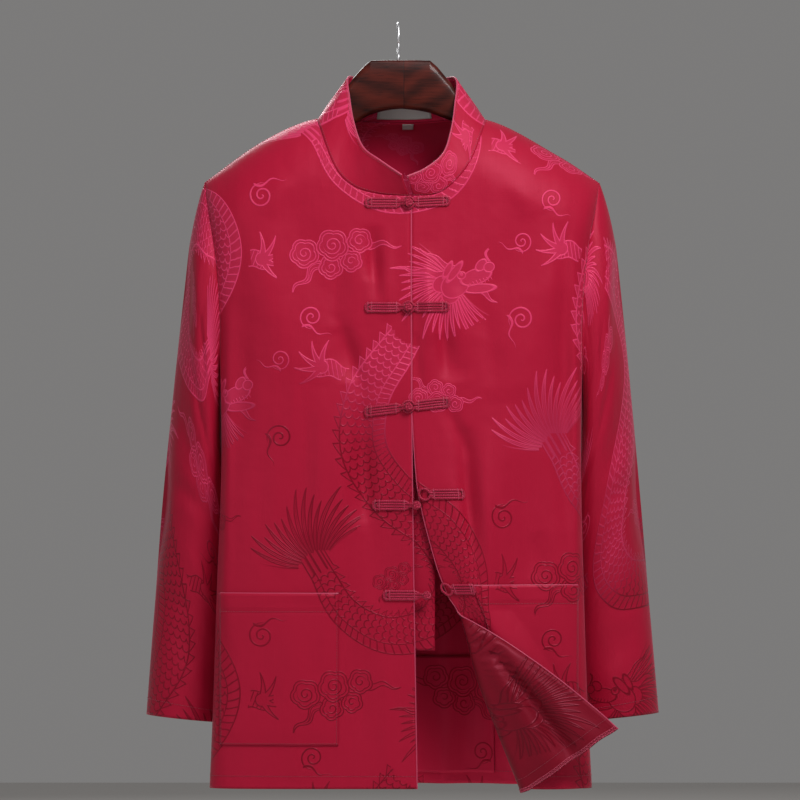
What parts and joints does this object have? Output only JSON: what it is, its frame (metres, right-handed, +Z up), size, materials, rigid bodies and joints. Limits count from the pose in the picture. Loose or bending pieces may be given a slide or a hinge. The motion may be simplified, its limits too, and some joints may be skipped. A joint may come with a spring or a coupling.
{
  "type": "chinese-style shirt on a hanger",
  "caption": "Long-sleeved stand-collar satin jacket with frog fastenings and patch pockets, hanging open at the hem on a wooden hanger.",
  "frame": {"origin": "seat of the hook: the inside top of its bend, where it rests on a rod that runs along X", "axes": "+Z up, +X to the viewer's right, the jacket's front faces -Y"},
  "size_m": [0.5706, 0.1777, 0.8497],
  "materials": {
    "satin": "red satin jacquard, tone on tone, soft sheen",
    "cord": "rolled satin cord",
    "label": "plain white woven tape, blank",
    "wood": "dark red-brown lacquered hardwood, glossy",
    "hook_wire": "bright plated wire"
  },
  "bodies": {
    "root": {"front_right": "satin", "front_left": "satin", "back": "satin", "underlap": "satin", "pocket_right": "satin", "pocket_left": "satin", "inner_patch": "satin", "sleeve_right": "satin", "sleeve_left": "satin", "collar": "satin", "frog_1_knot": "cord", "frog_1_loop": "cord", "frog_2_knot": "cord", "frog_2_loop": "cord", "frog_3_knot": "cord", "frog_3_loop": "cord", "frog_4_knot": "cord", "frog_4_loop": "cord", "frog_5_knot": "cord", "frog_5_loop": "cord", "neck_label": "label", "size_label": "label", "hanger_arm": "wood", "hook": "hook_wire"}
  },
  "joints": []
}
